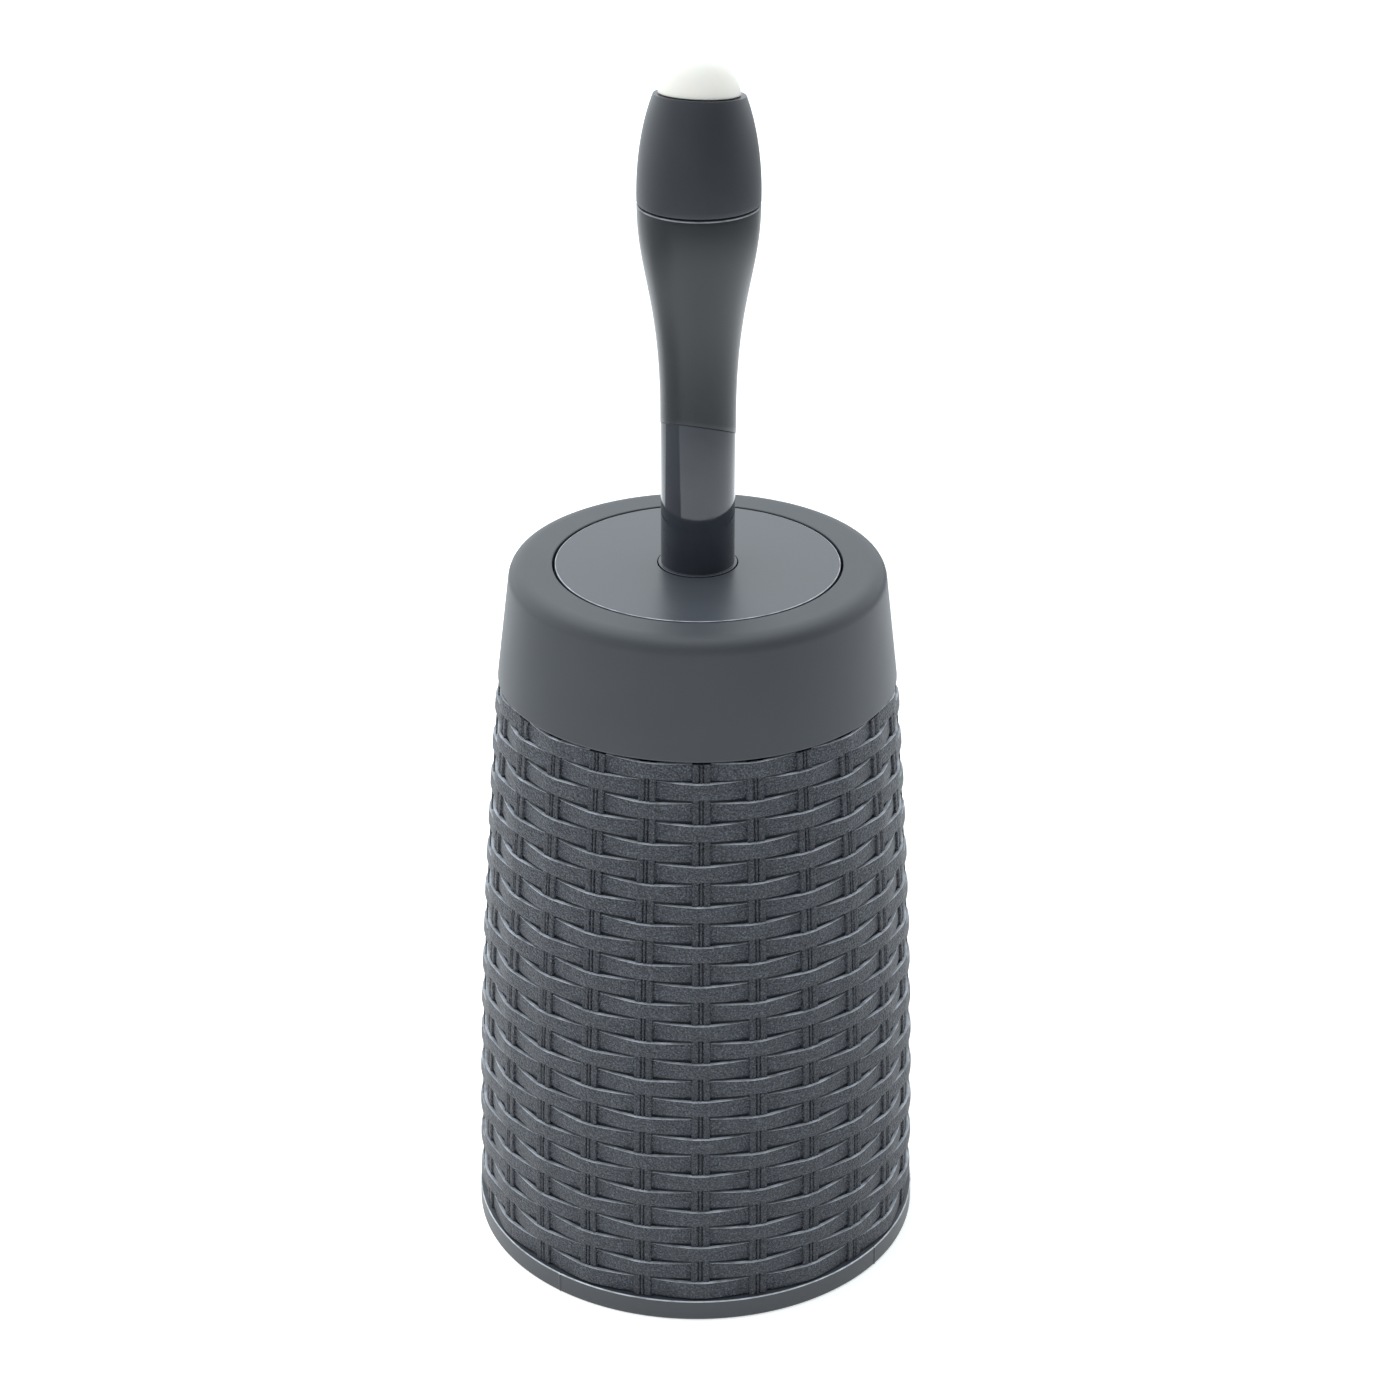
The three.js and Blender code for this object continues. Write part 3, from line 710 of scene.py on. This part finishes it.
def collar():
    shoulder = COLLAR_TOP - COLLAR_SHOULDER
    start = Vector((collar_radius(shoulder), shoulder))
    pull = Vector((COLLAR_TOP_RADIUS, COLLAR_TOP))
    end = Vector((COLLAR_TOP_RADIUS - COLLAR_SHOULDER, COLLAR_TOP))
    steps = [i / 12 for i in range(13)]
    curve = [tuple((1 - t) ** 2 * start + 2 * t * (1 - t) * pull + t * t * end) for t in steps]
    ledge_bottom = LEDGE_TOP - LEDGE_THICKNESS
    mouth_wall = MOUTH_RADIUS + WALL
    underside = COLLAR_TOP - WALL
    outline = rounded([
        (COLLAR_BOTTOM_RADIUS - WALL, COLLAR_BOTTOM, 0.4), (COLLAR_BOTTOM_RADIUS, COLLAR_BOTTOM, 0.45),
        *curve,
        (MOUTH_RADIUS, COLLAR_TOP, 0.35), (MOUTH_RADIUS, LEDGE_TOP, 0.3), (LEDGE_RADIUS, LEDGE_TOP, 0.3),
        (LEDGE_RADIUS, ledge_bottom, 0.3), (mouth_wall, ledge_bottom, 0.3), (mouth_wall, underside, 0.4),
        (COLLAR_TOP_RADIUS - COLLAR_SHOULDER, underside), (collar_radius(shoulder) - WALL, shoulder),
    ])
    piece = revolved("collar", outline, even_azimuths(COLLAR_SIDES))
    finish_piece(piece, "holder", "smooth_grey_plastic", COLLAR_MATERIAL, "top_collar")


def liner():
    floor_top = LINER_BOTTOM + THIN_WALL
    mouth = LINER_TOP_RADIUS - THIN_WALL
    outline = rounded([
        (0, LINER_BOTTOM), (LINER_BOTTOM_RADIUS, LINER_BOTTOM, 4.5), (LINER_TOP_RADIUS, RIM_UNDERSIDE, 0.3),
        (RIM_RADIUS, RIM_UNDERSIDE, 0.5), (RIM_RADIUS, RIM_TOP, 0.5), (mouth, RIM_TOP, 0.7),
        (LINER_BOTTOM_RADIUS - THIN_WALL, floor_top, 3.5), (0, floor_top),
    ], 6)
    piece = revolved("drip_cup", outline, even_azimuths(HOLDER_SIDES))
    finish_piece(piece, "liner", "liner_plastic", LINER_MATERIAL, "drip_liner")


def lid():
    skirt_inner = LID_SKIRT_RADIUS - THIN_WALL
    skirt_bottom = LID_UNDERSIDE - LID_SKIRT_DEPTH
    bore = FLANGE_RADIUS + GAP
    edge = RIM_RADIUS - LID_EASE
    outline = rounded([
        (LID_BORE, LID_HUB_BOTTOM, 0.3), (LID_HUB_RADIUS, LID_HUB_BOTTOM, 0.5),
        (LID_HUB_RADIUS, LID_UNDERSIDE, 0.6), (skirt_inner, LID_UNDERSIDE, 0.4),
        (skirt_inner, skirt_bottom, 0.5), (LID_SKIRT_RADIUS, skirt_bottom, 0.5),
        (LID_SKIRT_RADIUS, LID_UNDERSIDE, 0.3), (edge, LID_UNDERSIDE, 0.3), (edge, LID_TOP, LID_ROUNDING),
        (bore, LID_TOP, 0.12), (bore, LID_UNDERSIDE, 0.2), (LID_BORE, LID_UNDERSIDE, 0.2),
    ])
    piece = revolved("lid", outline, even_azimuths(COLLAR_SIDES))
    finish_piece(piece, "lid", "lid_plastic", LID_MATERIAL, "lid_disc")
    # A painted highlight round the lid's rounded rim.
    paint_highlight_rim(piece, LID_TOP - LID_ROUNDING / 2, edge - LID_ROUNDING, LID_HIGHLIGHT_MATERIAL)


# --- The handle ---

def shaft_outline(azimuth):
    edge = edge_height(GRIP_EDGE, SHAFT_RADIUS, azimuth) - FINE_GAP
    core_inset, bore_inset = GRIP_WALL + GAP, SHAFT_RADIUS - SHAFT_BORE
    spigot = SEAM_RADIUS - WALL - 2 * GAP
    core = [(grip_radius(z) - core_inset, z) for z in np.linspace(275, SEAM_HEIGHT - GAP, 14)]
    bore = [(grip_radius(z) - bore_inset, z) for z in np.linspace(SEAM_HEIGHT - GAP, 275, 14)]
    return rounded([
        (SHAFT_BORE, NECK_BOTTOM, 0.3), (NECK_RADIUS, NECK_BOTTOM, 0.4),
        (NECK_RADIUS, FLANGE_BOTTOM, 0.2), (FLANGE_RADIUS, FLANGE_BOTTOM, 0.3),
        (FLANGE_RADIUS, FLANGE_TOP, 0.2), (SHAFT_RADIUS, FLANGE_TOP, 0.1),
        (SHAFT_RADIUS, edge, 0.04), (SHAFT_RADIUS - core_inset, edge),
        *core, (spigot, SEAM_HEIGHT), (spigot, BARREL_SPIGOT_TOP, 0.4),
        (spigot - THIN_WALL, BARREL_SPIGOT_TOP, 0.4),
        *bore,
    ])


def grip_outline(azimuth):
    low = edge_height(GRIP_EDGE, SHAFT_RADIUS, azimuth)
    high = SEAM_HEIGHT - GAP
    heights = [low + (high - low) * i / 40 for i in range(1, 40)]
    side = [(grip_radius(z) + GRIP_PROUD * (high - z) / (high - low), z) for z in heights]
    inside = [(grip_radius(z) - GRIP_WALL, z) for z in reversed(heights[::2])]
    return rounded([
        (SHAFT_RADIUS - GRIP_WALL, low), (SHAFT_RADIUS + GRIP_PROUD, low, 0.1), *side,
        (SEAM_RADIUS, high, RIM_ROUNDING), (SEAM_RADIUS - GRIP_WALL, high), *inside,
    ], 4)


def barrel_outline(azimuth):
    low = SEAM_HEIGHT + GAP
    rim = barrel_radius(BARREL_EDGE[0])
    high = edge_height(BARREL_EDGE, rim, azimuth)
    inner_top = BARREL_EDGE[0] - BARREL_LAND
    shares = [math.sin(math.pi / 2 * i / 30) for i in range(1, 30)]
    side = [(barrel_radius(low + (high - low) * s), low + (high - low) * s) for s in shares]
    inside = [(barrel_radius(z, WALL), z) for z in np.linspace(inner_top, low, 12)]
    return rounded([
        (barrel_radius(low), low, 0.3), *side, (barrel_radius(high), high, 0.35),
        (BARREL_HOLE, edge_height(BARREL_EDGE, BARREL_HOLE, azimuth), 0.2), (BARREL_HOLE, inner_top), *inside,
    ], 4)


def dome_outline(azimuth):
    cut = edge_height(BARREL_EDGE, DOME_RADIUS, azimuth) + GAP
    start = math.asin((cut - DOME_CENTRE) / DOME_RADIUS)
    angles = [start + (math.pi / 2 - start) * i / 20 for i in range(21)]
    outer = [(DOME_RADIUS * math.cos(a), DOME_CENTRE + DOME_RADIUS * math.sin(a)) for a in angles]
    outer[-1] = (0.0, DOME_CENTRE + DOME_RADIUS)
    hollow = DOME_RADIUS - THIN_WALL
    bore = DOME_PLUG_RADIUS - THIN_WALL
    begin = math.acos(bore / hollow)
    angles = [math.pi / 2 - (math.pi / 2 - begin) * i / 8 for i in range(9)]
    inner = [(hollow * math.cos(a), DOME_CENTRE + hollow * math.sin(a)) for a in angles]
    inner[0] = (0.0, DOME_CENTRE + hollow)
    plug_bottom = BARREL_EDGE[0] - DOME_PLUG_DEPTH
    first = (outer[0][0], outer[0][1], 0.25)
    plug_top = edge_height(BARREL_EDGE, DOME_PLUG_RADIUS, azimuth) + GAP
    return rounded([
        first, *outer[1:], *inner,
        (bore, plug_bottom), (DOME_PLUG_RADIUS, plug_bottom), (DOME_PLUG_RADIUS, plug_top),
    ], 4)


def handle():
    for name, outline, slot, material, node in (
        ("shaft", shaft_outline, "gloss_black_plastic", GLOSS_MATERIAL, "handle_shaft"),
        ("grip", grip_outline, "soft_touch_grey", GRIP_MATERIAL, "soft_grip"),
        ("barrel", barrel_outline, "soft_touch_grey", BARREL_MATERIAL, "barrel_cap"),
        ("dome", dome_outline, "white_dome_plastic", DOME_MATERIAL, "end_dome"),
    ):
        piece = revolved(name, outline, even_azimuths(HANDLE_SIDES))
        finish_piece(piece, "brush", slot, material, node)
        if name == "grip":
            # A painted highlight round the grip's top rim, below the seam.
            paint_highlight_rim(piece, SEAM_HEIGHT - GAP - RIM_ROUNDING, SEAM_RADIUS - RIM_ROUNDING, GRIP_HIGHLIGHT_MATERIAL)


# --- The brush under the lid ---

def nut_outline(azimuth):
    side = NUT_RADIUS - NUT_FLUTE_DEPTH / 2 * (1 - math.cos(NUT_FLUTES * azimuth))
    bore = NECK_RADIUS + GAP
    bottom = NUT_TOP - NUT_HEIGHT
    return rounded([(bore, bottom, 0.3), (side, bottom, 0.6), (side, NUT_TOP, 0.3), (bore, NUT_TOP, 0.3)], 3)


def stem_outline():
    shoulder = NECK_BOTTOM - GAP
    foot = HEAD_TOP - SOCKET_DEPTH + GAP
    pin = SOCKET_RADIUS - GAP
    return rounded([
        (0, foot), (pin, foot, 0.4), (pin, HEAD_TOP + GAP, 0.2), (STEM_RADIUS, HEAD_TOP + GAP, 0.5),
        (STEM_RADIUS, shoulder - STEM_TAPER, 6), (NECK_RADIUS, shoulder - STEM_TAPER / 2, 3),
        (NECK_RADIUS, shoulder, 0.4), (STEM_SPIGOT_RADIUS, shoulder, 0.2),
        (STEM_SPIGOT_RADIUS, STEM_SPIGOT_TOP, 0.5), (0, STEM_SPIGOT_TOP),
    ])


def head_outline():
    body_top = HEAD_TOP - HEAD_NECK_HEIGHT
    angles = [-math.pi / 2 + math.pi / 2 * i / 14 for i in range(15)]
    end = [(HEAD_RADIUS * math.cos(a), HEAD_CENTRE + HEAD_RADIUS * math.sin(a)) for a in angles]
    end[0] = (0.0, HEAD_CENTRE - HEAD_RADIUS)
    return rounded([
        *end, (HEAD_RADIUS, body_top, 1.5), (HEAD_NECK_RADIUS, HEAD_TOP, 0.8), (SOCKET_RADIUS, HEAD_TOP, 0.3),
        (SOCKET_RADIUS, HEAD_TOP - SOCKET_DEPTH), (0, HEAD_TOP - SOCKET_DEPTH),
    ])


def brush_core():
    for name, outline, sides, node in (
        ("lid_ring_nut", nut_outline, NUT_SIDES, "lid_nut"),
        ("stem", stem_outline(), CORE_SIDES, "brush_stem"),
        ("bristle_head", head_outline(), CORE_SIDES, "head_core"),
    ):
        piece = revolved(name, outline, even_azimuths(sides))
        finish_piece(piece, "brush", "liner_plastic", LINER_MATERIAL, node)


FILAMENTS = 110
FILAMENT_RADIUS = 0.23
FILAMENT_SIDES = 4
FILAMENT_STEPS = 4
TUFT_MOUTH_RADIUS = 2.1
TUFT_SPREAD = 8.6
FILAMENT_DRIFT = 0.35
FILAMENT_FLARE = 1.2
FILAMENT_TIP = 0.7
TIP_SCATTER = 0.7
TIP_DROP = 0.35


def tuft_places():
    """Each tuft's name, its height on the axis, its direction and its reach from the axis."""
    places = []
    for row in range(TUFT_ROWS):
        stagger = 0.5 if row % 2 else 0.0
        for i in range(TUFTS_PER_ROW):
            turn = (i + stagger) / TUFTS_PER_ROW * TURN
            direction = Vector((math.cos(turn), math.sin(turn), 0))
            name = f"tuft_row{row + 1}_{i + 1}"
            places.append((name, HEAD_CENTRE + row * TUFT_ROW_PITCH, direction, SIDE_TUFT_REACH))
    out, down = math.cos(END_TUFT_SLOPE), math.sin(END_TUFT_SLOPE)
    for i in range(END_TUFTS):
        turn = i / END_TUFTS * TURN
        direction = Vector((out * math.cos(turn), out * math.sin(turn), -down))
        places.append((f"end_tuft_{i + 1}", HEAD_CENTRE, direction, END_TUFT_REACH))
    places.append(("end_tuft_middle", HEAD_CENTRE, Vector((0, 0, -1)), END_TUFT_REACH))
    return places


def filament_path(rng, reach):
    """The middle line of one filament, from its root in the head to its tip."""
    share, turn = math.sqrt(rng.random()), rng.uniform(0, TURN)
    spread = TUFT_SPREAD * (reach - HEAD_RADIUS) / (SIDE_TUFT_REACH - HEAD_RADIUS)
    tip = reach - TIP_DROP * share * share - rng.uniform(0, TIP_SCATTER)
    drift = Vector((rng.gauss(0, FILAMENT_DRIFT), rng.gauss(0, FILAMENT_DRIFT), 0))
    path = []
    for step in range(FILAMENT_STEPS + 1):
        along = step / FILAMENT_STEPS
        z = TUFT_ROOT + (tip - TUFT_ROOT) * along
        free = max(0.0, (z - HEAD_RADIUS) / (reach - HEAD_RADIUS))
        radius = share * (TUFT_MOUTH_RADIUS + (spread - TUFT_MOUTH_RADIUS) * free ** FILAMENT_FLARE)
        path.append(Vector((radius * math.cos(turn), radius * math.sin(turn), z)) + drift * free * free)
    return path


def tuft(rng, name, height, direction, reach):
    to_place = Vector((0, 0, 1)).rotation_difference(direction).to_matrix()
    middle = Vector((0, 0, height))
    points, faces = [], []
    for _ in range(FILAMENTS):
        path = filament_path(rng, reach)
        faces += tube_faces(len(points), len(path), FILAMENT_SIDES)
        for step, centre in enumerate(path):
            radius = FILAMENT_RADIUS * (FILAMENT_TIP if step == FILAMENT_STEPS else 1.0)
            for side in range(FILAMENT_SIDES):
                turn = TURN * side / FILAMENT_SIDES
                offset = Vector((radius * math.cos(turn), radius * math.sin(turn), 0))
                points.append(to_place @ (centre + offset) + middle)
    piece = mesh_object("bristles_" + name, points, faces, TUFT_SHARP_ANGLE)
    finish_piece(piece, "brush", "bristle", BRISTLE_MATERIAL, name)


def bristles():
    rng = random.Random(29)
    for place in tuft_places():
        tuft(rng, *place)


# --- Stage, light and camera, in metres ---

LIGHT_TINT = (0.94, 1.0, 1.04)
BACKDROP = 1.15
FLOOR_REACH = 6.0
FLOOR_DROP = 0.0003
ROOM_GLOW = 2.1
ROOM_GLOW_RADII = (0.28, 4.0)
ROOM_GLOW_FADE = (0.56, 0.80)
ROOM_GLOW_SIDES = 64
ROOM_GLOW_HEIGHT = 0.001
LEFT_GLOW = 0.5
LEFT_GLOW_FROM = (-0.9, -0.34)
LEFT_GLOW_TO = (-0.42, 0.3)
LEFT_GLOW_HEIGHT = 0.002

CAMERA_PLACE = (-0.00083, -0.8274, 0.5865)
CAMERA_PITCH = math.radians(90 - 26.33)
CAMERA_ROLL = math.radians(0.157)
CAMERA_LENS_MM = 80.436


class Lamp:
    """A small builder for the nodes that set how bright the world, the floor and the cards are."""

    def __init__(self, tree, source):
        self.tree = tree
        self.parts = tree.nodes.new("ShaderNodeSeparateXYZ")
        tree.links.new(source, self.parts.inputs[0])

    def ramp(self, source, start, end, low, high):
        """Eases from low to high while the source goes from start to end."""
        node = self.tree.nodes.new("ShaderNodeMapRange")
        node.interpolation_type = "SMOOTHSTEP"
        self.tree.links.new(source, node.inputs["Value"])
        for socket, value in (("From Min", start), ("From Max", end), ("To Min", low), ("To Max", high)):
            node.inputs[socket].default_value = value
        return node.outputs["Result"]

    def along(self, axis, start, end, low, high):
        return self.ramp(self.parts.outputs[axis], start, end, low, high)

    def math(self, operation, a, b):
        node = self.tree.nodes.new("ShaderNodeMath")
        node.operation = operation
        for socket, value in zip(node.inputs, (a, b)):
            if isinstance(value, bpy.types.NodeSocket):
                self.tree.links.new(value, socket)
            else:
                socket.default_value = value
        return node.outputs[0]

    def distance(self):
        """How far a point is from the Z axis."""
        squares = [self.math("MULTIPLY", self.parts.outputs[axis], self.parts.outputs[axis]) for axis in "XY"]
        return self.math("POWER", self.math("ADD", *squares), 0.5)


def stage_piece(name, points, faces, material):
    mesh = bpy.data.meshes.new(name)
    mesh.from_pydata(points, [], faces)
    mesh.materials.append(material)
    piece = bpy.data.objects.new(name, mesh)
    bpy.context.scene.collection.objects.link(piece)
    return piece


def plain_card(low, high, height):
    """The corners and the face of a flat rectangle."""
    (x0, y0), (x1, y1) = low, high
    return [(x0, y0, height), (x1, y0, height), (x1, y1, height), (x0, y1, height)], [(0, 1, 2, 3)]


def ring_card(radii, sides, height):
    """The points and the faces of a flat ring about the Z axis."""
    points, faces = [], []
    for radius in radii:
        for i in range(sides):
            turn = TURN * i / sides
            points.append((radius * math.cos(turn), radius * math.sin(turn), height))
    for i in range(sides):
        k = (i + 1) % sides
        faces.append((i, k, sides + k, sides + i))
    return points, faces


def floor():
    """A plain pale floor that glows a little, more on the left."""
    n = Nodes("pale_floor")
    n.shader.inputs["Base Color"].default_value = (0.75, 0.755, 0.74, 1)
    n.shader.inputs["Roughness"].default_value = 0.9
    n.shader.inputs["Specular IOR Level"].default_value = 0.1
    n.shader.inputs["Emission Color"].default_value = (1, 1, 0.99, 1)
    lamp = Lamp(n.tree, n.place)
    n.link(lamp.along("X", -0.2, 0.2, 0.82, 0.26), n.shader.inputs["Emission Strength"])
    card = plain_card((-FLOOR_REACH, -FLOOR_REACH), (FLOOR_REACH, FLOOR_REACH), -FLOOR_DROP)
    stage_piece("floor", *card, n.material)


def glow_card(name, card, strength):
    """A flat card just over the floor that only reflections see. strength is its brightness, or a function
    that builds it."""
    material = bpy.data.materials.new(name)
    material.use_nodes = True
    tree = material.node_tree
    tree.nodes.clear()
    emission = tree.nodes.new("ShaderNodeEmission")
    output = tree.nodes.new("ShaderNodeOutputMaterial")
    emission.inputs["Color"].default_value = (*LIGHT_TINT, 1)
    if callable(strength):
        place = tree.nodes.new("ShaderNodeTexCoord").outputs["Object"]
        tree.links.new(strength(Lamp(tree, place)), emission.inputs["Strength"])
    else:
        emission.inputs["Strength"].default_value = strength
    tree.links.new(emission.outputs[0], output.inputs["Surface"])
    piece = stage_piece(name, *card, material)
    piece.visible_camera = False
    piece.visible_diffuse = False
    piece.visible_shadow = False
    piece.visible_transmission = False


def room_glow(lamp):
    """Bright floor round the object. It fades with distance, most of all towards the camera and the right."""
    near = lamp.ramp(lamp.distance(), *ROOM_GLOW_FADE, 1.0, 0.0)
    far = lamp.math("MULTIPLY", lamp.along("Y", -1.4, 1.4, 0.05, 0.95), lamp.along("X", -0.6, 0.6, 1.2, 0.5))
    far = lamp.math("MULTIPLY", far, lamp.math("SUBTRACT", 1.0, near))
    return lamp.math("ADD", lamp.math("MULTIPLY", near, ROOM_GLOW), far)


def studio():
    """A white room, dimmer behind the camera and brighter overhead and on the left. Seen straight on it is
    plain white."""
    world = bpy.data.worlds.new("studio")
    bpy.context.scene.world = world
    world.use_nodes = True
    tree = world.node_tree
    background = tree.nodes["Background"]
    lamp = Lamp(tree, tree.nodes.new("ShaderNodeTexCoord").outputs["Generated"])
    back = lamp.along("Y", -0.7, 0.6, 0.15, 1.4)
    top = lamp.along("Z", 0.35, 0.95, 0.0, 0.95)
    left = lamp.along("X", 0.6, -0.6, 0.0, 0.38)
    light = lamp.math("ADD", lamp.math("ADD", back, top), left)
    seen = tree.nodes.new("ShaderNodeLightPath").outputs["Is Camera Ray"]
    hidden = lamp.math("MULTIPLY", light, lamp.math("SUBTRACT", 1.0, seen))
    strength = lamp.math("ADD", hidden, lamp.math("MULTIPLY", seen, BACKDROP))
    tree.links.new(strength, background.inputs["Strength"])
    background.inputs["Color"].default_value = (*LIGHT_TINT, 1)
    glow_card("glow_room", ring_card(ROOM_GLOW_RADII, ROOM_GLOW_SIDES, ROOM_GLOW_HEIGHT), room_glow)
    glow_card("glow_left", plain_card(LEFT_GLOW_FROM, LEFT_GLOW_TO, LEFT_GLOW_HEIGHT), LEFT_GLOW)


def camera():
    """The photograph's camera, solved from the circles of the collar, the lid and the base."""
    data = bpy.data.cameras.new("camera")
    data.lens = CAMERA_LENS_MM
    data.sensor_width = 36
    data.clip_start = 0.05
    data.clip_end = 50
    view = bpy.data.objects.new("camera", data)
    bpy.context.scene.collection.objects.link(view)
    turned = Matrix.Rotation(CAMERA_PITCH, 4, "X") @ Matrix.Rotation(CAMERA_ROLL, 4, "Z")
    view.matrix_world = Matrix.Translation(CAMERA_PLACE) @ turned
    bpy.context.scene.camera = view


rattan_strands()
rattan_stakes()
basket_backing()
base_plate()
collar()
liner()
lid()
handle()
brush_core()
bristles()
floor()
studio()
camera()
bpy.context.scene.view_settings.view_transform = "Standard"
